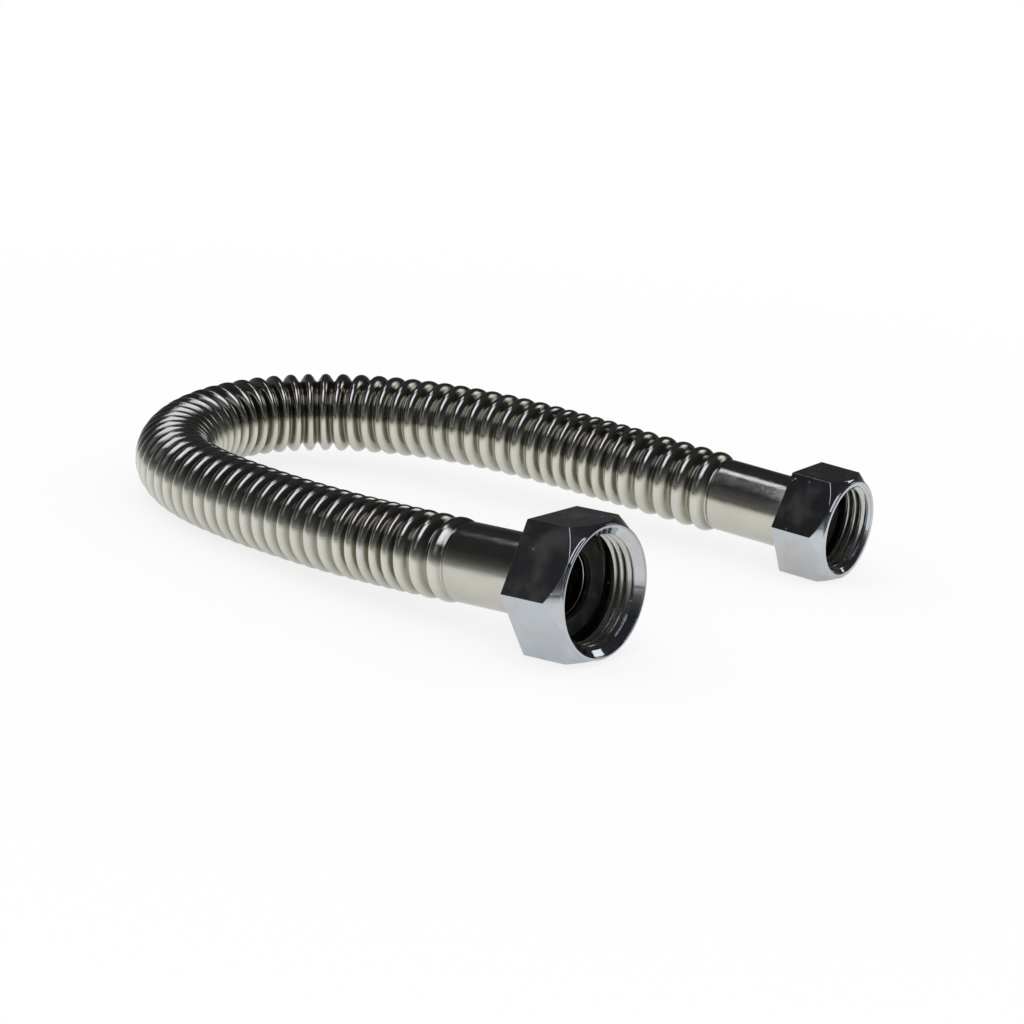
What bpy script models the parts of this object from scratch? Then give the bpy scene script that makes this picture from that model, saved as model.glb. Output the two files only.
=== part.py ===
"""Flexible pipe connector: a corrugated steel pipe bent into a U, a captive hex union nut on each
plain cuff, and a flat sealing washer inside each nut.

Every piece is a closed loop of rings carried along one centreline. The centreline is a bending
schedule: a straight pipe, three bends in plan and two changes of rise. Z is up, the floor is at
Z = 0 and the larger nut opens towards +X, looking up a little because the pipe lies on its bend.
"""
import math

import bpy
import numpy as np

MM = 0.001

# Centreline, in mm from the back face of the larger nut to the back face of the smaller one.
PATH_LENGTH = 330.4
PATH_STEP = 0.2
START_RISE = -3.357                  # degrees, walking away from the larger nut
BENDS = (                            # (middle of the bend, half its length, turn in degrees)
    (93.5, 48.0, 48.0),
    (119.5, 99.5, -140.8),
    (191.0, 52.3, -81.9),
)
LIFTS = (                            # (middle, half length, change of rise in degrees)
    (133.6, 113.6, 8.2),
    (243.6, 37.8, -7.43),
)

# Corrugated pipe, mm.
PIPE_SIDES = 14
CREST_DIA = 19.0
ROOT_DIA = 15.4
WALL = 0.4
CORRUGATIONS = 67
FIRST_CREST = 26.0                   # from the larger nut's back face
LAST_CREST = 23.8                    # from the smaller nut's back face
PITCHES = (                          # (number of the gap between crests, its width in mm)
    (0, 5.1), (1, 4.6), (2, 3.5), (6, 3.5), (7, 4.4), (30, 4.2), (41, 4.1),
    (42, 4.5), (54, 4.5), (55, 3.7), (61, 3.7), (62, 5.0), (65, 5.1),
)
CREST_HALF = 0.17                    # half width of a crest's top, in pitches
ROOT_HALF = 0.08                     # half width of a root's floor, in pitches
BORE_WAVE = 0.6                      # share of the corrugation depth that the bore follows
END_RING = 0.8                       # thickness of the flat ring formed on each pipe end

# The two ends, mm: cuff and formed ring, nut with its thread, washer.
LARGE_END = {
    "cuff_dia": 18.0, "ring_dia": 25.0, "lip_dia": 14.4,
    "across_flats": 30.0, "nut_length": 15.0, "corner_length": 11.3, "cone_length": 2.9,
    "rim_dia": 28.8, "thread_major": 26.44, "lead_in": 1.7,
    "back_wall": 2.4, "relief_length": 5.0, "washer_hole": 15.4, "washer_height": 1.5,
}
SMALL_END = {
    "cuff_dia": 16.9, "ring_dia": 20.2, "lip_dia": 13.0,
    "across_flats": 24.0, "nut_length": 13.0, "corner_length": 10.1, "cone_length": 2.3,
    "rim_dia": 23.0, "thread_major": 20.96, "lead_in": 1.4,
    "back_wall": 2.2, "relief_length": 4.0, "washer_hole": 13.8, "washer_height": 1.5,
}
THREAD_DEPTH = 1.16                  # both pipe threads have 14 turns to the inch
CUFF_PLAY = 0.3                      # between a cuff and the hole in its nut's back wall
WASHER_PLAY = 0.16                   # between a washer and the thread's crests
SEAT_GAP = 0.3                       # between pieces that would touch
RELIEF_PLAY = 0.3                    # relief radius over the thread's major radius
RIM_ROUND = 0.35
NUT_SIDES = 48
WASHER_SIDES = 40
SHARP_ANGLE = 32.0

# Colour, metallic, roughness.
FINISHES = {
    "pipe_steel": ((0.66, 0.65, 0.61), 1.0, 0.22),
    "large_nut_plating": ((0.78, 0.79, 0.80), 1.0, 0.14),
    "small_nut_plating": ((0.78, 0.79, 0.80), 1.0, 0.14),
    "large_washer_rubber": ((0.02, 0.02, 0.02), 0.0, 0.55),
    "small_washer_rubber": ((0.02, 0.02, 0.02), 0.0, 0.55),
}


def bump(t):
    """Raised cosine over -1..1 with unit area."""
    return np.where(np.abs(t) < 1.0, 0.5 + 0.5 * np.cos(np.pi * t), 0.0)


def running_sum(rate, s):
    """Integral of rate from the first station to each station."""
    steps = 0.5 * (rate[1:] + rate[:-1]) * np.diff(s).reshape((-1,) + (1,) * (rate.ndim - 1))
    return np.concatenate([np.zeros_like(rate[:1]), np.cumsum(steps, axis=0)])


def angle_along(start, schedule, s):
    """Angle at each station: the start angle plus each scheduled turn's share so far."""
    rate = sum(math.radians(turn) * bump((s - at) / half) / half for at, half, turn in schedule)
    return start + running_sum(rate, s)


def centreline():
    """Stations, points and unit tangents of the pipe's axis, with the larger nut on the floor."""
    s = np.linspace(0.0, PATH_LENGTH, round(PATH_LENGTH / PATH_STEP) + 1)
    heading = angle_along(math.pi, BENDS, s)
    rise = angle_along(math.radians(START_RISE), LIFTS, s)
    tangent = np.stack([np.cos(heading) * np.cos(rise),
                        np.sin(heading) * np.cos(rise),
                        np.sin(rise)], axis=1)
    height = LARGE_END["across_flats"] / 2 * math.cos(rise[0])
    return s, running_sum(tangent, s) + [0.0, 0.0, height], tangent


def frames(s, path):
    """Point, tangent, side and up vectors at stations s; past its ends the path runs straight."""
    stations, points, tangents = path
    inside = np.clip(s, 0.0, PATH_LENGTH)
    point = np.stack([np.interp(inside, stations, points[:, k]) for k in range(3)], axis=1)
    tangent = np.stack([np.interp(inside, stations, tangents[:, k]) for k in range(3)], axis=1)
    tangent /= np.linalg.norm(tangent, axis=1, keepdims=True)
    side = np.cross([0.0, 0.0, 1.0], tangent)
    side /= np.linalg.norm(side, axis=1, keepdims=True)
    return point + tangent * (s - inside)[:, None], tangent, side, np.cross(tangent, side)


def rings_along(loop, sides, path, turn=0.0):
    """Rings of the (station, radius) loop; either value may differ from side to side.

    The turn, in sides, is that of the first spoke from the path's level side.
    """
    angle = 2 * np.pi * (np.arange(sides) + turn) / sides
    station = np.stack([np.broadcast_to(s, (sides,)) for s, _ in loop])
    radius = np.stack([np.broadcast_to(r, (sides,)) for _, r in loop])
    point, tangent, side, up = frames(station[:, 0], path)
    spoke = np.cos(angle)[:, None] * side[:, None] + np.sin(angle)[:, None] * up[:, None]
    slide = (station - station[:, :1])[..., None] * tangent[:, None]
    return point[:, None] + slide + radius[..., None] * spoke


def crest_stations():
    """Stations of the crests: wide pitches at the cuffs, then narrow ones, then even ones.

    The widths are read off PITCHES and scaled a little, so that they fill the run exactly.
    """
    numbers, widths = zip(*PITCHES)
    width = np.interp(np.arange(CORRUGATIONS - 1), numbers, widths)
    run = PATH_LENGTH - LAST_CREST - FIRST_CREST
    return FIRST_CREST + np.concatenate([[0.0], np.cumsum(width)]) * run / width.sum()


def pipe_loop():
    """The pipe's outline: end ring, outer wall, other end ring, and the bore back again."""
    crests = crest_stations()
    gaps = np.diff(crests)
    before, after = np.append(gaps[0], gaps), np.append(gaps, gaps[-1])
    crest, root = CREST_DIA / 2, ROOT_DIA / 2
    foot = 0.5 - ROOT_HALF
    bore_root = root - WALL
    bore_crest = bore_root + BORE_WAVE * (crest - root)

    def formed_end(end):
        """Bore, lip, flat ring and cuff of one end, by depth out of the nut's back face."""
        back = end["back_wall"] + SEAT_GAP
        front = back + END_RING
        cuff, ring, lip = end["cuff_dia"] / 2, end["ring_dia"] / 2, end["lip_dia"] / 2
        return [(back, cuff - WALL), (back, lip), (front, lip), (front, ring), (back, ring),
                (back, cuff)]

    loop = [(-u, r) for u, r in formed_end(LARGE_END)]
    loop.append((crests[0] - foot * before[0], LARGE_END["cuff_dia"] / 2))
    for c, a, b in zip(crests, before, after):
        loop += [(c - foot * a, root), (c - CREST_HALF * a, crest), (c + CREST_HALF * b, crest),
                 (c + foot * b, root)]
    del loop[7], loop[-1]
    loop.append((crests[-1] + foot * after[-1], SMALL_END["cuff_dia"] / 2))
    loop += [(PATH_LENGTH + u, r) for u, r in reversed(formed_end(SMALL_END))]
    loop.append((crests[-1] + after[-1] / 2, SMALL_END["cuff_dia"] / 2 - WALL))
    for c, a in zip(reversed(crests), reversed(before)):
        loop += [(c, bore_crest), (c - a / 2, bore_root)]
    loop[-1] = (crests[0] - before[0] / 2, LARGE_END["cuff_dia"] / 2 - WALL)
    return loop


def nut_loop(end, station, outward):
    """A union nut's outline: hex, cone, rim, lead-in, thread bore, relief and back wall.

    A flat lies AF/2 from the axis, so at angle a its radius is AF/2 / cos(a), and the cone from
    the corners (radius AF/sqrt 3) to the rim meets it where the two radii are equal.
    """
    angle = 2 * np.pi * np.arange(NUT_SIDES) / NUT_SIDES
    hexagon = end["across_flats"] / 2 / np.cos(np.mod(angle, math.pi / 3) - math.pi / 6)
    corner, rim = end["across_flats"] / math.sqrt(3), end["rim_dia"] / 2
    cone_start = end["corner_length"] + (corner - hexagon) / (corner - rim) * end["cone_length"]
    hole = end["cuff_dia"] / 2 + CUFF_PLAY
    thread = end["thread_major"] / 2 - THREAD_DEPTH
    relief = end["thread_major"] / 2 + RELIEF_PLAY
    length, wall = end["nut_length"], end["back_wall"]
    step = wall + end["relief_length"]
    loop = [(0.0, hole), (0.0, hexagon), (cone_start, hexagon),
            (end["corner_length"] + end["cone_length"], rim), (length - RIM_ROUND, rim),
            (length, rim - RIM_ROUND), (length, thread + end["lead_in"]),
            (length - end["lead_in"], thread), (step, thread), (step, relief), (wall, relief),
            (wall, hole)]
    return [(station + outward * u, r) for u, r in loop]


def washer_loop(end, station, outward):
    """A flat washer standing SEAT_GAP clear of the pipe's end ring."""
    seat = end["back_wall"] + SEAT_GAP + END_RING + SEAT_GAP
    face = seat + end["washer_height"]
    hole, edge = end["washer_hole"] / 2, end["thread_major"] / 2 - THREAD_DEPTH - WASHER_PLAY
    loop = [(seat, hole), (seat, edge), (face, edge), (face, hole)]
    return [(station + outward * u, r) for u, r in loop]


def ring_faces(count, sides):
    """Quads between neighbouring rings, the last ring joining the first."""
    i, j = np.meshgrid(np.arange(count), np.arange(sides), indexing="ij")
    i2, j2 = (i + 1) % count, (j + 1) % sides
    return np.stack([i * sides + j, i * sides + j2, i2 * sides + j2, i2 * sides + j],
                    axis=-1).reshape(-1, 4)


def outward_faces(verts, faces):
    """The faces, turned over if they enclose a negative volume."""
    a, b, c, d = (verts[faces[:, k]] for k in range(4))
    volume = np.einsum("ij,ij->", a, np.cross(b, c)) + np.einsum("ij,ij->", a, np.cross(c, d))
    return faces if volume > 0 else faces[:, ::-1]


def add_material(name):
    colour, metallic, roughness = FINISHES[name]
    material = bpy.data.materials.new(name)
    material.use_nodes = True
    shader = material.node_tree.nodes["Principled BSDF"]
    shader.inputs["Base Color"].default_value = (*colour, 1.0)
    shader.inputs["Metallic"].default_value = metallic
    shader.inputs["Roughness"].default_value = roughness
    material.diffuse_color = (*colour, 1.0)
    return material


def add_body(name, rings, material):
    verts = rings.reshape(-1, 3) * MM
    faces = outward_faces(verts, ring_faces(*rings.shape[:2]))
    mesh = bpy.data.meshes.new(name)
    mesh.from_pydata(verts.tolist(), [], faces.tolist())
    mesh.shade_smooth()
    mesh.set_sharp_from_angle(angle=math.radians(SHARP_ANGLE))
    mesh.materials.append(add_material(material))
    body = bpy.data.objects.new(name, mesh)
    bpy.context.scene.collection.objects.link(body)


def build():
    for old in list(bpy.data.objects):
        bpy.data.objects.remove(old, do_unlink=True)
    path = centreline()
    large, small = (LARGE_END, 0.0, -1.0), (SMALL_END, PATH_LENGTH, 1.0)
    bodies = {
        "corrugated_pipe": (rings_along(pipe_loop(), PIPE_SIDES, path, 0.5), "pipe_steel"),
        "union_nut_large": (rings_along(nut_loop(*large), NUT_SIDES, path), "large_nut_plating"),
        "union_nut_small": (rings_along(nut_loop(*small), NUT_SIDES, path), "small_nut_plating"),
        "sealing_washer_large": (rings_along(washer_loop(*large), WASHER_SIDES, path),
                                 "large_washer_rubber"),
        "sealing_washer_small": (rings_along(washer_loop(*small), WASHER_SIDES, path),
                                 "small_washer_rubber"),
    }
    everything = np.concatenate([rings.reshape(-1, 3) for rings, _ in bodies.values()])
    low, high = everything.min(axis=0), everything.max(axis=0)
    origin = np.array([(low[0] + high[0]) / 2, (low[1] + high[1]) / 2, low[2]])
    for name, (rings, material) in bodies.items():
        add_body(name, rings - origin, material)


build()
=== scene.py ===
# %% [markdown]
# # A corrugated pipe connector, dressed around its solid model
#
# The real thing is a stainless steel tube, pressed into rings so that it bends by hand, with a
# plain cuff at each end and a chrome-plated brass nut turning on each cuff. The solid model fixes
# where everything is. This script adds what the eye looks for: rounded corrugations, cut threads,
# softened edges, and metal that shows the studio around it.
#
# Every visible piece is a surface made of rings: a closed outline in two numbers, the station
# along the pipe's axis and the distance from it, carried round that axis and along its curve.

import bpy
import numpy as np
from mathutils import Matrix, Vector


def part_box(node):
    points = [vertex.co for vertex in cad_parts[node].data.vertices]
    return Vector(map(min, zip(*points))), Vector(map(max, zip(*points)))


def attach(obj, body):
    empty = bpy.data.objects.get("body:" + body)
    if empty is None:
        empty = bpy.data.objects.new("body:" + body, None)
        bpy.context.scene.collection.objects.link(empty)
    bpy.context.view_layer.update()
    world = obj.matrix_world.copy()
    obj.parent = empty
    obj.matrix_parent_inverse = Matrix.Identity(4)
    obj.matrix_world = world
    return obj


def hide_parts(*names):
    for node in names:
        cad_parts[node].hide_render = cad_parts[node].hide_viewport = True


MM = 0.001
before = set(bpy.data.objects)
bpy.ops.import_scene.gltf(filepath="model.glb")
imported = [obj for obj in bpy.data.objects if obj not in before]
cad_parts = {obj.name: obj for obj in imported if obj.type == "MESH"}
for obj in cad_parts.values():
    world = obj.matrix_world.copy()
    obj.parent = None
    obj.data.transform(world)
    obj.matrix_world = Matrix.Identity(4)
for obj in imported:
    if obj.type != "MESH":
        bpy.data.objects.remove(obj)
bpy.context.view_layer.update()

# %% [markdown]
# ## The camera
#
# A product photograph is taken from some way off with a long lens, so parallel edges stay nearly
# parallel. Here the camera's place, heading and tilt are set as three plain angles and a point,
# because these are what one changes when a picture and a model don't quite meet.

# %% Camera
CAMERA_PLACE = (0.58734, -0.74380, 0.26741)
CAMERA_HEADING = -37.28          # degrees from +Y, clockwise from above
CAMERA_DROP = 15.32              # degrees below the horizon
CAMERA_ROLL = 4.36
FOCAL_LENGTH, SENSOR = 147.9, 36.0          # mm


def camera_axes(heading, drop, roll):
    """Right, up and forward: forward from two angles, then right and up turned by the roll."""
    h, d, r = np.radians([heading, drop, roll])
    forward = np.array([np.sin(h) * np.cos(d), np.cos(h) * np.cos(d), -np.sin(d)])
    level = np.cross(forward, [0.0, 0.0, 1.0])
    level /= np.linalg.norm(level)
    above = np.cross(level, forward)
    return level * np.cos(r) + above * np.sin(r), above * np.cos(r) - level * np.sin(r), forward


lens = bpy.data.cameras.new("camera")
lens.lens, lens.sensor_width = FOCAL_LENGTH, SENSOR
lens.clip_start, lens.clip_end = 0.01, 50.0
camera = bpy.data.objects.new("camera", lens)
right, up, forward = camera_axes(CAMERA_HEADING, CAMERA_DROP, CAMERA_ROLL)
turn = Matrix((right, up, -forward)).transposed().to_4x4()
camera.matrix_world = Matrix.Translation(CAMERA_PLACE) @ turn
bpy.context.scene.collection.objects.link(camera)
bpy.context.scene.camera = camera
print("camera looks along", forward.round(3))

# %% [markdown]
# ## The line that the pipe follows
#
# A pipe bender works from a schedule: so far along, turn so much. The same schedule gives the
# centreline here. Each bend adds a raised-cosine hump of curvature, which starts and ends gently
# like metal bent round a hand, and adding up the directions step by step gives the points.

# %% Centreline
PATH_LENGTH = 330.4              # mm between the two nuts' back faces
PATH_STEP = 0.2
START_RISE = -3.357              # degrees
BENDS = ((93.5, 48.0, 48.0), (119.5, 99.5, -140.8), (191.0, 52.3, -81.9))
LIFTS = ((133.6, 113.6, 8.2), (243.6, 37.8, -7.43))


def running_sum(rate, s):
    """Integral of rate over s by the trapezium rule, starting at zero."""
    steps = 0.5 * (rate[1:] + rate[:-1]) * np.diff(s).reshape((-1,) + (1,) * (rate.ndim - 1))
    return np.concatenate([np.zeros_like(rate[:1]), np.cumsum(steps, axis=0)])


def angle_along(start, schedule, s):
    """Start angle plus, for each bend, turn times the integral of (1 + cos(pi t)) / 2 half."""
    rate = np.zeros_like(s)
    for middle, half, turned in schedule:
        t = (s - middle) / half
        rate += np.radians(turned) / half * np.where(abs(t) < 1, 0.5 + 0.5 * np.cos(np.pi * t), 0)
    return start + running_sum(rate, s)


def centreline():
    """Stations, points and tangents: the tangent has the heading and rise reached so far."""
    s = np.linspace(0.0, PATH_LENGTH, round(PATH_LENGTH / PATH_STEP) + 1)
    heading = angle_along(np.pi, BENDS, s)
    rise = angle_along(np.radians(START_RISE), LIFTS, s)
    tangent = np.stack([np.cos(heading) * np.cos(rise), np.sin(heading) * np.cos(rise),
                        np.sin(rise)], axis=1)
    return s, running_sum(tangent, s), tangent


def frames(s, path):
    """Point, tangent, side (level, square to the tangent) and up vectors at stations s.

    Beyond either end the line goes straight on, because the nuts reach out there.
    """
    stations, points, tangents = path
    inside = np.clip(s, 0.0, PATH_LENGTH)
    point = np.stack([np.interp(inside, stations, points[:, k]) for k in range(3)], axis=-1)
    tangent = np.stack([np.interp(inside, stations, tangents[:, k]) for k in range(3)], axis=-1)
    tangent /= np.linalg.norm(tangent, axis=-1, keepdims=True)
    side = np.cross([0.0, 0.0, 1.0], tangent)
    side /= np.linalg.norm(side, axis=-1, keepdims=True)
    return point + tangent * (s - inside)[..., None], tangent, side, np.cross(tangent, side)


path = centreline()
print("U from the larger nut to the smaller one, mm:", path[1][-1].round(2))

# %% [markdown]
# ## Where the line lies in the solid model
#
# The line above starts at the origin. The larger nut's box in the solid model says where it
# really starts: the nut is widest across its corners, and its back face is the box's low end in x.

# %% Place the line
def ring_points(station, radius, angle, path):
    """Point + radius * (cos(angle) side + sin(angle) up), for arrays of equal shape."""
    point, _, side, up = frames(station, path)
    spoke = np.cos(angle)[..., None] * side + np.sin(angle)[..., None] * up
    return point + radius[..., None] * spoke


HALF_FLATS = 15.0                            # of the larger nut
corners = np.radians(np.arange(0, 360, 60))
back_face = ring_points(np.zeros(6), np.full(6, HALF_FLATS / np.cos(np.pi / 6)), corners, path)
nut_low, nut_high = (np.array(c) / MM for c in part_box("union_nut_large"))
start = np.array([nut_low[0] - back_face[:, 0].min(),
                  (nut_low[1] + nut_high[1]) / 2,
                  nut_low[2] - back_face[:, 2].min()])
path = (path[0], path[1] + start, path[2])
print("line starts at, mm:", start.round(3))

# %% [markdown]
# ## From outline to mesh
#
# Rings joined to rings make a closed body with no poles and no caps. Quads are enough, since
# each ring only meets the next. Turning the list of faces round when the volume comes out
# negative makes every face point outwards, whichever way the outline was drawn.

# %% Mesh helpers
def ring_quads(count, sides):
    """Quad (i, j) joins ring i to ring i + 1 and side j to side j + 1, both wrapping round."""
    i, j = np.meshgrid(np.arange(count), np.arange(sides), indexing="ij")
    i2, j2 = (i + 1) % count, (j + 1) % sides
    return np.stack([i * sides + j, i * sides + j2, i2 * sides + j2, i2 * sides + j],
                    axis=-1).reshape(-1, 4)


def signed_volume(points, quads):
    """Sum of the tetrahedra from the origin to both triangles of each quad, times six."""
    a, b, c, d = (points[quads[:, k]] for k in range(4))
    return np.einsum("ij,ij->", a, np.cross(b, c)) + np.einsum("ij,ij->", a, np.cross(c, d))


UV_UNIT = 100.0                              # mm along the pipe to one unit of U
UV_TURN = 0.6                                # V of one turn: a crest is 0.6 dm round


def add_piece(name, station, radius, angle, values=None):
    """A closed body from (ring, side) arrays of station, radius and angle, and its UV map.

    U is the station and V the way round, both in decimetres, so that a pattern keeps its scale
    and follows the pipe. values holds further (ring, side) arrays, kept as point attributes.
    """
    rings, sides = station.shape
    points = ring_points(station, radius, angle, path).reshape(-1, 3) * MM
    quads = ring_quads(rings, sides)
    wound = quads if signed_volume(points, quads) > 0 else quads[:, ::-1]
    mesh = bpy.data.meshes.new(name)
    mesh.vertices.add(len(points))
    mesh.vertices.foreach_set("co", points.astype(np.float32).ravel())
    mesh.loops.add(wound.size)
    mesh.loops.foreach_set("vertex_index", wound.astype(np.int32).ravel())
    mesh.polygons.add(len(wound))
    mesh.polygons.foreach_set("loop_start", np.arange(0, wound.size, 4, dtype=np.int32))
    # A face across the seam would show the whole pattern backwards: its low side goes up a turn.
    turns = angle / (2 * np.pi)
    u, v = station.ravel()[wound] / UV_UNIT, turns.ravel()[wound] * UV_TURN
    seam = np.isclose(np.ptp(v, axis=1), UV_TURN * (1 - 1 / sides), atol=0.05)
    v[seam] += np.where(v[seam] < UV_TURN / 2, UV_TURN, 0.0)
    corner_uv = np.stack([u, v], -1).astype(np.float32)
    mesh.uv_layers.new(name="along").data.foreach_set("uv", corner_uv.ravel())
    for label, value in (values or {}).items():
        mesh.attributes.new(label, "FLOAT", "POINT").data.foreach_set(
            "value", np.broadcast_to(value, station.shape).astype(np.float32).ravel())
    mesh.update(calc_edges=True)
    mesh.validate()
    mesh.shade_smooth()
    piece = bpy.data.objects.new(name, mesh)
    bpy.context.scene.collection.objects.link(piece)
    print(f"{name}: {2 * len(wound)} triangles")
    return piece


def carried_round(station, radius, sides):
    """An outline as (ring, side) arrays of station, radius and angle, evenly all the way round."""
    angle = 2 * np.pi * np.arange(sides) / sides
    return np.broadcast_arrays(station[:, None], radius[:, None], angle)


CURVE_STEPS = 3                              # along the curve at a softened corner
CORNER_POINTS = CURVE_STEPS + 3              # the curve's points and a further one on either side
CURVE_SHARE = 0.4                            # most of a short side that a curve may take
GUARD = 0.25                                 # the further points' distance, as a share of it


def soften(outline, radii):
    """The closed outline with each corner turned into a small curve.

    outline is a list of (station, radius) corners, each a number or an array over the angles. A
    curve starts and ends its own radius from the corner, along a parabola (1-t)^2 a + 2t(1-t) c
    + t^2 b, and a further point on either side keeps the flats beside it flat in the shading. A
    radius of 0 leaves the corner as it is, one point.
    """
    sides = max(np.size(value) for corner in outline for value in corner)
    corner = np.stack([np.stack([np.broadcast_to(v, (sides,)) for v in c], -1) for c in outline])
    before, after = np.roll(corner, 1, axis=0) - corner, np.roll(corner, -1, axis=0) - corner
    t = np.linspace(0.0, 1.0, CURVE_STEPS + 1)[:, None, None]
    rings = []
    for c, back, ahead, r in zip(corner, before, after, radii):
        if r == 0:
            rings.append(c[None])
            continue
        far_back, far_ahead = (np.linalg.norm(v, axis=-1, keepdims=True) for v in (back, ahead))
        a = c + back / far_back * np.minimum(r, CURVE_SHARE * far_back)
        b = c + ahead / far_ahead * np.minimum(r, CURVE_SHARE * far_ahead)
        curve = (1 - t) ** 2 * a + 2 * t * (1 - t) * c + t ** 2 * b
        rings += [(a + GUARD * (a - c))[None], curve, (b + GUARD * (b - c))[None]]
    joined = np.concatenate(rings)
    return joined[..., 0], joined[..., 1]


# %% [markdown]
# ## The pipe
#
# The rings are pressed out of a plain tube by water pressure. They come out round on top with
# narrow valleys between. They aren't quite evenly spaced: the last few before a cuff stand
# further apart, the next few closer together. Two powers shape each wave: the first flattens
# the crest, the second rounds the root.

# %% Corrugation rhythm
CORRUGATIONS = 67
CREST, ROOT, SHEET = 9.5, 7.5, 0.35          # radii and wall, mm
FIRST_CREST, LAST_CREST = 26.0, 23.8         # from the two nuts' back faces
PITCHES = ((0, 5.1), (1, 4.6), (2, 3.5), (6, 3.5), (7, 4.4), (30, 4.2), (41, 4.1), (42, 4.5),
           (54, 4.5), (55, 3.7), (61, 3.7), (62, 5.0), (65, 5.1))   # gap's number, width in mm
CREST_POWER, ROOT_POWER = 2.5, 1.7


def crest_stations():
    """Crests whose gaps are read off PITCHES, scaled a little so that they fill the run."""
    width = np.interp(np.arange(CORRUGATIONS - 1), *zip(*PITCHES))
    run = PATH_LENGTH - LAST_CREST - FIRST_CREST
    return FIRST_CREST + np.concatenate([[0.0], np.cumsum(width)]) * run / width.sum()


# The first and the last valley lie half a pitch beyond the first and the last crest.
crests = crest_stations()
valleys = np.concatenate([[1.5 * crests[0] - 0.5 * crests[1]], (crests[1:] + crests[:-1]) / 2,
                          [1.5 * crests[-1] - 0.5 * crests[-2]]])
turning_points = np.sort(np.concatenate([crests, valleys]))
print("pitch next to a cuff and in the middle, mm:", np.diff(crests)[[0, 30]].round(2))


# %% Pipe outline
def wave(station):
    """Radius root + depth * (1 - d ** a) ** b, with d from 0 at a crest to 1 in a valley."""
    phase = np.interp(station, turning_points, np.arange(len(turning_points)) / 2 + 0.5)
    d = 2 * abs(phase - np.round(phase))
    return ROOT + (CREST - ROOT) * (1 - d ** CREST_POWER) ** ROOT_POWER


def run_stations(per_ring):
    """Stations from the first valley to the last, per_ring to each corrugation."""
    halves = np.arange(CORRUGATIONS * per_ring + 1) / per_ring * 2
    return np.interp(halves, np.arange(len(turning_points)), turning_points)


CUFF = {"large": 9.0, "small": 8.45}
RING = {"large": 12.5, "small": 10.1}
LIP = {"large": 7.2, "small": 6.5}
RING_SEAT = {"large": 2.7, "small": 2.5}     # back of the ring, inside the nut
RING_THICK = 0.8
GROOVE = 0.45                                # how far the groove beside a cuff dips below it
SHOULDER = 1.1                               # mm along the cuff's rounded edge at that groove
CUFF_END_ROUNDING = (0.3, 0.12, 0.2, 0.25, 0.12, 0.3)        # mm, by the corners of cuff_end


def outer_radius(station):
    """The wave, and at both ends the cuff, which it meets in a shallow groove."""
    radius = wave(station)
    for cuff, beyond in ((CUFF["large"], station - valleys[0]),
                         (CUFF["small"], valleys[-1] - station)):
        reach = abs(valleys[1] - valleys[0]) * 0.5
        rise = np.clip(beyond / reach, 0.0, 1.0)
        level = cuff - GROOVE + (radius - ROOT) / (CREST - ROOT) * (CREST - cuff + GROOVE)
        radius = np.where((beyond >= 0) & (rise < 1), level, radius)
        shoulder = np.clip(-beyond / SHOULDER, 0.0, 1.0)
        plain = cuff - GROOVE * (1 - shoulder * shoulder * (3 - 2 * shoulder))
        radius = np.where(beyond < 0, plain, radius)
    return radius


def cuff_end(end):
    """Corners of one end, by depth into the nut: bore, lip, flat ring and the cuff's outside."""
    seat, cuff = RING_SEAT[end], CUFF[end]
    face = seat + RING_THICK
    return [(seat, cuff - SHEET), (seat, LIP[end]), (face, LIP[end]), (face, RING[end]),
            (seat, RING[end]), (seat, cuff)]


def along_pipe(depth, end):
    """Stations of depths into a nut: before the line's start, or beyond its end."""
    return -depth if end == "large" else PATH_LENGTH + depth


OUTSIDE_RINGS, BORE_RINGS = 14, 6            # to a corrugation
PIPE_SIDES = 56
SHOULDER_REACH, SHOULDER_RINGS = 1.2, 8      # mm of cuff beside its groove, with close rings
# The other rings of the cuffs and of the bore inside them, in mm from the nuts' back faces.
LARGE_CUFF = np.array([0.0, 8.0, 14.0, 18.0, 21.0])
SMALL_CUFF = np.array([20.0, 17.0, 12.0, 6.0, 0.0])
BORE_IN_CUFF = np.array([2.0, 8.0, 14.0, 19.0])


def pipe_outline():
    """The whole closed outline: one end, the outside, the other end, and the bore back."""
    ends = []
    for end in ("large", "small"):
        depth, radius = soften(cuff_end(end), CUFF_END_ROUNDING)
        ends.append((along_pipe(depth[:, 0], end), radius[:, 0]))
    (s1, r1), (s2, r2) = ends
    outside = np.concatenate([
        LARGE_CUFF, np.linspace(valleys[0] - SHOULDER_REACH, valleys[0], SHOULDER_RINGS),
        run_stations(OUTSIDE_RINGS)[1:-1],
        np.linspace(valleys[-1], valleys[-1] + SHOULDER_REACH, SHOULDER_RINGS),
        PATH_LENGTH - SMALL_CUFF])
    bore = np.concatenate([PATH_LENGTH - BORE_IN_CUFF, run_stations(BORE_RINGS)[::-1],
                           BORE_IN_CUFF[::-1]])
    station = np.concatenate([s1, outside, s2[::-1], bore])
    radius = np.concatenate([r1, outer_radius(outside), r2[::-1], outer_radius(bore) - SHEET])
    return station, radius


# Painted shade: a point's height on its ring, kept as a mesh attribute, sets how much of the darker
# root colour the steel gets; the cuffs and ends get a little of it.
CUFF_RING_HEIGHT = 0.8                            # what the cuffs and ends have in place of a height
pipe_s, pipe_r = pipe_outline()
corrugated = (pipe_s > valleys[0]) & (pipe_s < valleys[-1])
height_on_ring = np.clip((pipe_r - ROOT) / (CREST - ROOT), 0.0, 1.0)
polish = np.where(corrugated, height_on_ring, CUFF_RING_HEIGHT)
pipe = add_piece("pipe_formed", *carried_round(pipe_s, pipe_r, PIPE_SIDES),
                 {"polish": polish[:, None]})

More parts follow.
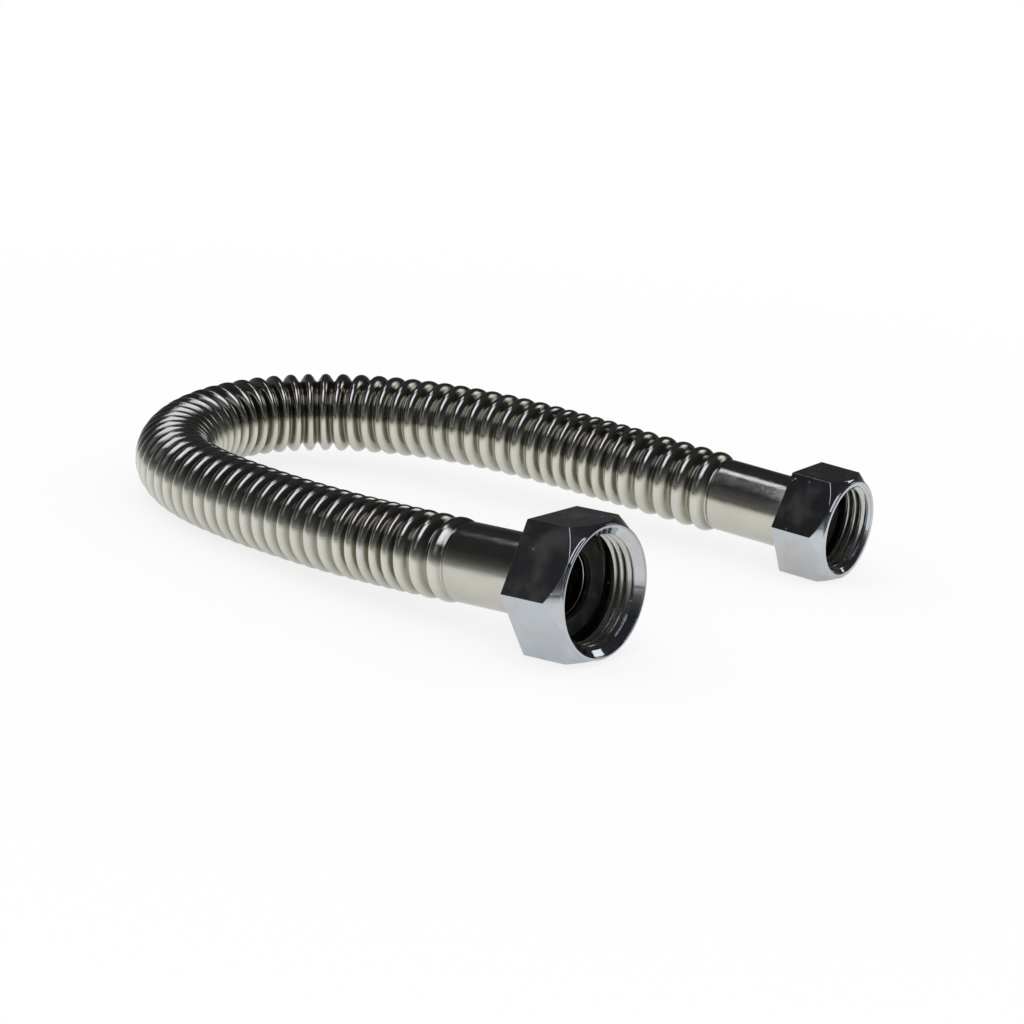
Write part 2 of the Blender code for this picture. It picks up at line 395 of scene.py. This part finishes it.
# %% [markdown]
# ## The union nuts
#
# A nut is turned and milled: a hexagon with a cone cut over one end, so that each flat ends in a
# curve, then a narrow rim, a countersunk mouth and the thread. The thread is a British pipe
# thread, 14 turns to the inch, round at crest and root. It is the one part that isn't the same
# all the way round: its phase goes forward by one pitch in a turn, which makes it a helix.

# %% Nut sizes and hexagon
THREAD_PITCH, THREAD_DEPTH = 1.814, 1.16
PLAY = 0.3                                   # round the cuff, and between relief and thread
# In mm: flats is the spanner's size, corner_length where the cone starts on a corner, rim and
# major are radii, wall is the back wall's thickness, and relief the plain bore in front of it.
LARGE = {"end": "large", "flats": 30.0, "length": 15.0, "corner_length": 11.3, "cone": 2.9,
         "rim": 14.9, "major": 13.22, "lead_in": 2.2, "wall": 2.4, "relief": 5.0}
SMALL = {"end": "small", "flats": 24.0, "length": 13.0, "corner_length": 10.1, "cone": 2.3,
         "rim": 11.7, "major": 10.48, "lead_in": 1.3, "wall": 2.2, "relief": 4.0}
EDGE = 0.22                                  # rounding along the hexagon's six edges
EDGE_LOSS = 0.155                            # share of EDGE that it takes off a corner
FLAT_STEPS, CORNER_STEPS = 15, 6             # sides along each flat and round each corner
BESIDE_CORNER = 0.006                        # radians from a corner to a further side on the flat


def rounded_corner(flats):
    """Its centre c = (flats / 2 - EDGE) / cos(30) out, and the angle at which a flat meets it.

    That angle is from the flat's middle: c sin(30) to the side of a point flats / 2 out.
    """
    c = (flats / 2 - EDGE) / np.cos(np.pi / 6)
    return c, np.arctan(c * 0.5 / (flats / 2))


def hexagon(angle, flats):
    """Distance to a hexagon with rounded corners.

    On a flat it is (flats / 2) / cos(a), with a from the flat's middle. Near a corner it is a
    circle of radius EDGE round the centre c: c cos(b) + sqrt(EDGE^2 - c^2 sin(b)^2), with b from
    the corner.
    """
    c, meets = rounded_corner(flats)
    a = np.mod(angle, np.pi / 3) - np.pi / 6
    b = np.pi / 6 - abs(a)
    circle = c * np.cos(b) + np.sqrt(np.maximum(EDGE ** 2 - (c * np.sin(b)) ** 2, 0.0))
    return np.where(abs(a) < meets, flats / 2 / np.cos(a), circle)


def nut_angles(flats):
    """Angles for one turn: even along each flat, close together at each corner."""
    _, meets = rounded_corner(flats)
    flat = np.linspace(-meets, meets, FLAT_STEPS)
    close = np.array([-meets + BESIDE_CORNER, meets - BESIDE_CORNER])
    corner = np.linspace(meets, np.pi / 3 - meets, CORNER_STEPS)[1:-1]
    one = np.sort(np.concatenate([flat, close, corner])) + np.pi / 6
    return np.concatenate([one + k * np.pi / 3 for k in range(6)])


print("sides of a nut:", len(nut_angles(LARGE["flats"])))


# %% Nut outline
SHARPNESS = 0.96                             # 1 would give the thread pointed ridges
THREAD_RINGS = 24                            # to a pitch
THREAD_FROM, THREAD_TO = 0.2, 0.05           # mm left plain at the mouth and beside the relief
BORE_FROM = 0.3                              # mm of the lead-in that already look like the bore
NUT_ROUNDING = (0.25, 0.14, 0.12, 0.2, 0.35, 0.15, 0, 0.1, 0.25, 0.2)       # mm, by corner


def thread_radius(depth, angle, nut):
    """Major radius less THREAD_DEPTH times a rounded triangle wave of the helix's phase."""
    phase = 2 * np.pi * depth / THREAD_PITCH - angle
    ridge = 0.5 + 0.5 * np.arcsin(SHARPNESS * np.cos(phase)) / np.arcsin(SHARPNESS)
    return nut["major"] - THREAD_DEPTH * ridge


def nut_surface(nut):
    """Depth and radius of a nut, ring by ring, and which of its rings are inside the bore."""
    angle = nut_angles(nut["flats"])
    hexa = hexagon(angle, nut["flats"])
    corner = nut["flats"] / np.sqrt(3)
    length, wall, rim = nut["length"], nut["wall"], nut["rim"]
    slope = nut["cone"] / (corner - rim)
    cone_start = nut["corner_length"] + (corner - EDGE * EDGE_LOSS - hexa) * slope
    cone_end = nut["corner_length"] + nut["cone"]
    hole, relief = CUFF[nut["end"]] + PLAY, nut["major"] + PLAY
    minor, step = nut["major"] - THREAD_DEPTH, wall + nut["relief"]
    mouth, lead_in_end = minor + nut["lead_in"], length - nut["lead_in"]
    out_s, out_r = soften([(0.0, hole), (0.0, hexa), (cone_start, hexa), (cone_end, rim),
                           (length, rim), (length, mouth), (step, mouth), (step, relief),
                           (wall, relief), (wall, hole)], NUT_ROUNDING)
    # The thread takes the place of the one point at (step, mouth), after six softened corners.
    inside = 6 * CORNER_POINTS
    thread_s = np.linspace(length - THREAD_FROM, step + THREAD_TO,
                           int((length - step) / THREAD_PITCH * THREAD_RINGS))
    thread_s = np.broadcast_to(thread_s[:, None], (len(thread_s), len(angle)))
    lead = minor + thread_s - lead_in_end
    thread_r = np.maximum(thread_radius(thread_s, angle[None], nut), lead)
    station = np.concatenate([out_s[:inside], thread_s, out_s[inside + 1:]])
    radius = np.concatenate([out_r[:inside], thread_r, out_r[inside + 1:]])
    bore = np.clip(lead_in_end + BORE_FROM - station, 0.0, 1.0)
    bore[:inside] = bore[-CORNER_POINTS:] = 0.0
    return station, radius, np.broadcast_to(angle, station.shape), bore


def add_nut(name, nut):
    """The larger nut opens against the pipe's direction and the smaller one along it."""
    depth, radius, angle, bore = nut_surface(nut)
    return add_piece(name, along_pipe(depth, nut["end"]), radius, angle, {"bore": bore})


large_nut = add_nut("nut_large_threaded", LARGE)
small_nut = add_nut("nut_small_threaded", SMALL)

# %% [markdown]
# ## The sealing washers
#
# Each nut holds a flat rubber ring that it squeezes against the pipe's end ring. Cut rubber has
# edges that are never quite sharp, so its outline is a rectangle with soft corners.

# %% Washers
WASHERS = {"large": (11.9, 7.7), "small": (9.16, 6.9)}       # outer and inner radius, mm
WASHER_HEIGHT, WASHER_ROUNDING, SEAT_GAP = 1.5, 0.25, 0.3
WASHER_SIDES = 72


def add_washer(name, end):
    """A soft-cornered rectangle, from SEAT_GAP over the pipe's end ring, carried round."""
    edge, hole = WASHERS[end]
    low = RING_SEAT[end] + RING_THICK + SEAT_GAP
    high = low + WASHER_HEIGHT
    depth, radius = soften([(low, hole), (low, edge), (high, edge), (high, hole)],
                           [WASHER_ROUNDING] * 4)
    station = along_pipe(depth[:, 0], end)
    return add_piece(name, *carried_round(station, radius[:, 0], WASHER_SIDES))


large_washer = add_washer("washer_large", "large")
small_washer = add_washer("washer_small", "small")

# %% [markdown]
# ## Shader arithmetic in plain Python
#
# Node trees for metal are mostly sums and products of noise. Written as nodes they are long, so
# a small class lets Python's own operators add the Math nodes, and a few methods add the rest.

# %% Shader helpers
class Value:
    """A shader socket that takes +, - and * with numbers and with other sockets."""

    def __init__(self, tree, socket):
        self.tree, self.socket = tree, socket

    def combine(self, operation, first, second):
        return self.tree.node("ShaderNodeMath", {"operation": operation}, {0: first, 1: second})

    def __add__(self, other):
        return self.combine("ADD", self, other)

    __radd__ = __add__

    def __mul__(self, other):
        return self.combine("MULTIPLY", self, other)

    __rmul__ = __mul__

    def __sub__(self, other):
        return self.combine("SUBTRACT", self, other)

    def __rsub__(self, other):
        return self.combine("SUBTRACT", other, self)


class Tree:
    """A node tree, built by node(type, settings, inputs, output); stops are a ramp's colours."""

    def __init__(self, tree):
        self.tree = tree
        tree.nodes.clear()

    def node(self, kind, settings=None, inputs=None, output=0):
        made = self.tree.nodes.new(kind)
        for name, value in (settings or {}).items():
            if name == "stops":
                made.color_ramp.elements[0].position, made.color_ramp.elements[1].position = 0, 1
                for place, _ in value[1:-1]:
                    made.color_ramp.elements.new(place)
                for element, (place, colour) in zip(made.color_ramp.elements, value):
                    element.position, element.color = place, (*colour, 1.0)
            else:
                setattr(made, name, value)
        for name, value in (inputs or {}).items():
            if isinstance(value, Value):
                self.tree.links.new(value.socket, made.inputs[name])
            else:
                made.inputs[name].default_value = value
        return Value(self, made.outputs[output]) if made.outputs else None

    def noise(self, vector, scale, detail=3.0, roughness=0.5, stretch=None):
        """Noise from 0 to 1, on a vector that a Mapping node may stretch first."""
        if stretch is not None:
            vector = self.node("ShaderNodeMapping", None, {"Vector": vector, "Scale": stretch})
        return self.node("ShaderNodeTexNoise", None, {
            "Vector": vector, "Scale": scale, "Detail": detail, "Roughness": roughness})

    def smooth(self, value, low, high, to_low=0.0, to_high=1.0):
        """Smooth step of value from low..high to to_low..to_high."""
        return self.node("ShaderNodeMapRange", {"interpolation_type": "SMOOTHSTEP"}, {
            "Value": value, "From Min": low, "From Max": high, "To Min": to_low,
            "To Max": to_high})

    def blend(self, factor, first, second):
        """Colour mix."""
        return self.node("ShaderNodeMix", {"data_type": "RGBA"},
                         {0: factor, 6: first, 7: second}, output=2)

    def attribute(self, name):
        """The mesh's point attribute of that name."""
        return self.node("ShaderNodeAttribute", {"attribute_name": name}, output="Fac")

    def bump(self, height, strength, distance):
        """A normal that leans with the slope of height."""
        return self.node("ShaderNodeBump", None, {
            "Strength": strength, "Distance": distance, "Height": height})

    def surface(self, inputs):
        """One Principled shader with these inputs, as the material's surface."""
        shader = self.node("ShaderNodeBsdfPrincipled", None, inputs)
        self.node("ShaderNodeOutputMaterial", None, {"Surface": shader})


def new_material(name):
    """A material and its empty tree; the plain viewport colour is set by its finish."""
    made = bpy.data.materials.new(name)
    made.use_nodes = True
    return made, Tree(made.node_tree)


print("shader helpers are ready")

# %% [markdown]
# ## Steel of the pipe
#
# The tube is bright stainless steel that has been drawn, pressed and handled. Drawing leaves
# hairlines along it, so a noise is stretched along the UV map's first axis. The roots between the
# crests are painted darker and more olive: painted shade, standing in for the dimmer, doubled
# reflections deep in the narrow valleys. A point attribute of the mesh says how high on its ring a
# point is, and so how much of that painted shade it gets. Hairlines and dull patches go into
# roughness and a very shallow bump: on a mirror-like metal they hardly change the colour.

# %% Pipe material
STEEL = (0.68, 0.675, 0.61, 1.0)
STEEL_DULL = (0.61, 0.605, 0.54, 1.0)
# Painted shade: the darker, olive colour that the roots between the crests get.
STEEL_ROOT_PAINTED_SHADE = (0.31, 0.305, 0.245, 1.0)
SHALLOW = 0.0004                             # metres: the full height of a metal's bump


def steel_material():
    """Colour by height on the ring, with painted shade at the roots; roughness = base + hairlines
    + blotches + rub; shallow bump.
    """
    made, tree = new_material("bright_stainless")
    along = tree.node("ShaderNodeUVMap", {"uv_map": "along"})
    place = tree.node("ShaderNodeTexCoord", output="Object")
    hairlines = tree.noise(along, 1.0, detail=4.0, roughness=0.6, stretch=(30.0, 900.0, 1.0))
    rub = tree.noise(along, 1.0, stretch=(260.0, 160.0, 1.0))
    blotch = tree.noise(place, 90.0, detail=4.0, roughness=0.55)
    waviness = tree.noise(place, 210.0, detail=2.0, roughness=0.4)
    roughness = 0.05 + hairlines * 0.06 + tree.smooth(blotch, 0.45, 0.75) * 0.06 + rub * 0.04
    # Painted root shade: from the darker root colour low on a ring to the steel's own colour on the
    # crests.
    colour = tree.blend(tree.smooth(tree.attribute("polish"), 0.3, 1.0), STEEL_ROOT_PAINTED_SHADE,
                        tree.blend(tree.smooth(blotch, 0.4, 0.8), STEEL, STEEL_DULL))
    bump = tree.bump(hairlines * 0.25 + waviness * 0.75, strength=0.16, distance=SHALLOW)
    tree.surface({"Base Color": colour, "Metallic": 1.0, "Roughness": roughness, "Normal": bump})
    made.diffuse_color, made.metallic = STEEL, 1.0
    return made


steel = steel_material()
pipe.data.materials.append(steel)
print("pipe finish:", steel.name)

# %% [markdown]
# ## Chrome of the nuts
#
# Plating follows the brass beneath it, which was milled and then buffed. So the flats carry a
# faint orange peel and fine buffing lines in one direction. A thin film from handling lies over
# them in patches, and a few specks of dust. Both are a little less metallic, which shows where a
# flat mirrors the dark. Inside the bore the plating is thin: the brass shows through as a warmer,
# duller tone. The meshes' bore attribute says where.

# %% Nut material
CHROME = (0.55, 0.59, 0.62, 1.0)
BORE_METAL = (0.50, 0.48, 0.40, 1.0)
FILM = (0.55, 0.53, 0.52, 1.0)


def chrome_material():
    """Roughness = base + buffing lines + dust + bore; bump from orange peel and buffing."""
    made, tree = new_material("chrome_plate")
    place = tree.node("ShaderNodeTexCoord", output="Object")
    bore = tree.attribute("bore")
    peel = tree.noise(place, 320.0, detail=2.0, roughness=0.45)
    buffing = tree.noise(place, 1.0, roughness=0.6, stretch=(2600.0, 240.0, 240.0))
    dust = tree.smooth(tree.noise(place, 700.0, detail=2.0, roughness=0.6), 0.71, 0.76)
    thin = tree.smooth(tree.noise(place, 170.0, roughness=0.6), 0.35, 0.7)
    film = tree.smooth(tree.noise(place, 130.0, detail=4.0, roughness=0.6), 0.45, 0.7)
    roughness = 0.035 + buffing * 0.05 + dust * 0.12 + bore * (0.1 + thin * 0.1)
    colour = tree.blend(bore * (0.45 + thin * 0.4), tree.blend(film, CHROME, FILM), BORE_METAL)
    bump = tree.bump(peel + buffing * 0.3, strength=0.1, distance=SHALLOW)
    tree.surface({"Base Color": colour, "Metallic": 1.0 - film * 0.05 - dust * 0.5,
                  "Roughness": roughness, "Normal": bump})
    made.diffuse_color, made.metallic = CHROME, 1.0
    return made


chrome = chrome_material()
for nut in (large_nut, small_nut):
    nut.data.materials.append(chrome)
print("nut finish:", chrome.name)

# %% [markdown]
# ## Rubber of the washers
#
# Rubber is matt and nearly black, with a fine grain and a bloom of grey where it has been
# handled.

# %% Washer material
RUBBER = (0.016, 0.016, 0.017, 1.0)
RUBBER_BLOOM = (0.045, 0.044, 0.043, 1.0)


def rubber_material():
    """Dark base with a grey bloom by noise, and a fine grain as bump."""
    made, tree = new_material("washer_rubber")
    place = tree.node("ShaderNodeTexCoord", output="Object")
    bloom = tree.smooth(tree.noise(place, 400.0, detail=4.0, roughness=0.6), 0.45, 0.75)
    grain = tree.noise(place, 4500.0, roughness=0.6)
    bump = tree.bump(grain, strength=0.3, distance=SHALLOW / 2)
    tree.surface({"Base Color": tree.blend(bloom, RUBBER, RUBBER_BLOOM),
                  "Roughness": 0.45 + bloom * 0.25, "Normal": bump})
    made.diffuse_color = (0.02, 0.02, 0.02, 1.0)
    return made


rubber = rubber_material()
for washer in (large_washer, small_washer):
    washer.data.materials.append(rubber)
print("washer finish:", rubber.name)

# %% [markdown]
# ## Tie the pieces to the solid model
#
# A new piece stands for the solid of the same part, and moves with that solid's body. The washers
# lie on the pipe's end rings, so they stay with the pipe when a nut turns.

# %% Ride and replace
for piece, node, body, finish in (
        (pipe, "corrugated_pipe", "pipe", "pipe_steel"),
        (large_washer, "sealing_washer_large", "pipe", "large_washer_rubber"),
        (small_washer, "sealing_washer_small", "pipe", "small_washer_rubber"),
        (large_nut, "union_nut_large", "large_nut", "large_nut_plating"),
        (small_nut, "union_nut_small", "small_nut", "small_nut_plating")):
    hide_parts(node)
    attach(piece, body)
    print(f"{piece.name} stands for {node} and moves with {body}")

# %% [markdown]
# ## Studio
#
# Metal has no look of its own: it shows the room. This room is a white table in a dark studio.
# The table gives every surface that faces down a pale sheen, the dark gives the others their
# black, and the edge between them is the line along the pipe.
#
# In the metal, the table gets darker with the length of the mirrored ray, as a sheet of paper
# does that ends a short way off. Part of it glows, so that the shadow under the pipe stays open.
# The world is pale for the light it sheds and for the camera. What the metal mirrors of it is
# dark above the horizon, more so behind the pipe.

# %% Table
TABLE_SIZE = 12.0                            # metres across
TABLE_DROP = 0.00003                         # metres, so that no face of the pipe lies in it
WHITE = (1.0, 1.0, 1.0, 1.0)
PAINT = (0.93, 0.93, 0.93, 1.0)
NEAR_WHITE = 0.8                             # plain white's share near the pipe, for the camera
WHITE_FROM, WHITE_ALL = 0.1, 0.4             # metres out, between which that share rises to 1
MIRRORED_NEAR, MIRRORED_FAR = 0.95, 0.2      # grey of the mirrored table, by the ray's length
MIRRORED_REACH = 0.32                        # metres of ray from the first grey to the second
MIRRORED_GLOW = 0.5                          # share of the mirrored table that no shadow reaches
table_mesh = bpy.data.meshes.new("table")
half = TABLE_SIZE / 2
table_mesh.from_pydata([(-half, -half, 0), (half, -half, 0), (half, half, 0), (-half, half, 0)],
                       [], [(0, 1, 2, 3)])
table = bpy.data.objects.new("table", table_mesh)
table.location.z = -TABLE_DROP
bpy.context.scene.collection.objects.link(table)
table_paint, tree = new_material("table_white")
ray = tree.node("ShaderNodeLightPath", output="Is Camera Ray")
spot = tree.node("ShaderNodeTexCoord", output="Object")
reach = tree.node("ShaderNodeVectorMath", {"operation": "LENGTH"}, {0: spot}, output="Value")
glint = tree.node("ShaderNodeLightPath", output="Is Glossy Ray")
away = tree.node("ShaderNodeLightPath", output="Ray Length")
shown = tree.smooth(away, 0.0, MIRRORED_REACH, MIRRORED_NEAR, MIRRORED_FAR)
grey = tree.node("ShaderNodeCombineColor", None, {"Red": shown, "Green": shown, "Blue": shown})
paint = tree.node("ShaderNodeBsdfDiffuse", None, {"Color": tree.blend(glint, PAINT, grey)})
glow = tree.node("ShaderNodeEmission", None, {
    "Color": tree.blend(glint, WHITE, grey), "Strength": 1.0})
glow_share = tree.smooth(reach, WHITE_FROM, WHITE_ALL, NEAR_WHITE, 1.0) * ray
shader = tree.node("ShaderNodeMixShader", None, {
    0: glow_share + glint * MIRRORED_GLOW, 1: paint, 2: glow})
tree.node("ShaderNodeOutputMaterial", None, {"Surface": shader})
table_mesh.materials.append(table_paint)
print("table is", TABLE_SIZE, "m across")

# %% World
SHED = (0.85, 0.85, 0.85, 1.0)               # the light that the world gives
DARK = (0.022, 0.021, 0.022)
# What metal mirrors of the world, from straight down at 0 to straight up at 1.
MIRRORED_SKY = ((0.0, (0.6, 0.6, 0.6)), (0.49, (0.5, 0.5, 0.5)), (0.52, (0.28, 0.28, 0.28)),
                (0.57, (0.13, 0.13, 0.13)), (0.65, (0.06, 0.06, 0.06)), (0.78, DARK),
                (1.0, (0.03, 0.029, 0.034)))
BEHIND = 0.12                                # added to that height straight behind the pipe
world = bpy.data.worlds.new("studio")
world.use_nodes = True
bpy.context.scene.world = world
tree = Tree(world.node_tree)
look = tree.node("ShaderNodeTexCoord", output="Generated")
height = tree.node("ShaderNodeSeparateXYZ", None, {"Vector": look}, output="Z")
depth = tree.node("ShaderNodeSeparateXYZ", None, {"Vector": look}, output="Y")
behind = tree.node("ShaderNodeMath", {"operation": "MAXIMUM"}, {0: depth, 1: 0.0})
mirrored = tree.node("ShaderNodeValToRGB", {"stops": MIRRORED_SKY}, {
    "Fac": height * 0.5 + 0.5 + behind * BEHIND})
glossy = tree.node("ShaderNodeLightPath", output="Is Glossy Ray")
seen = tree.node("ShaderNodeLightPath", output="Is Camera Ray")
backdrop = tree.node("ShaderNodeBackground", None, {
    "Color": tree.blend(glossy, tree.blend(seen, SHED, WHITE), mirrored), "Strength": 1.0})
tree.node("ShaderNodeOutputWorld", None, {"Surface": backdrop})
print("world:", world.name)

# %% [markdown]
# Four softboxes stand close together over the table. Each is placed by what mirrors it: the one
# above gives the streak on each corrugation, the front one lets that streak fade out downwards,
# the left one draws the line along the farther cuff, and the one behind the pipe puts the glints
# into the nuts' mouths.

# %% Lamps
COOL = (0.87, 0.85, 1.0)
SOFTBOXES = (                                # place and size in metres, brightness, colour
    ("softbox_above", (0.06, -0.42, 1.03), (0.72, 0.85), 1.3, COOL),
    ("softbox_front", (0.0, -0.95, 0.55), (0.6, 0.4), 0.18, COOL),
    ("softbox_left", (-0.50, 0.09, 1.07), (0.16, 0.36), 1.7, (0.96, 0.95, 1.0)),
    ("softbox_behind", (0.26, 0.87, 0.59), (0.26, 0.32), 1.3, WHITE[:3]))


def add_softbox(name, place, size, brightness, colour):
    """A rectangular lamp that faces the origin; its power is pi * area * brightness."""
    lamp = bpy.data.lights.new(name, "AREA")
    lamp.shape, lamp.size, lamp.size_y = "RECTANGLE", size[0], size[1]
    lamp.energy = np.pi * size[0] * size[1] * brightness
    lamp.color = colour
    holder = bpy.data.objects.new(name, lamp)
    bpy.context.scene.collection.objects.link(holder)
    facing = Vector(place).to_track_quat("Z", "Y").to_matrix().to_4x4()
    holder.matrix_world = Matrix.Translation(place) @ facing


for softbox in SOFTBOXES:
    add_softbox(*softbox)
bpy.context.scene.view_settings.view_transform = "Standard"
print(len(SOFTBOXES), "softboxes")
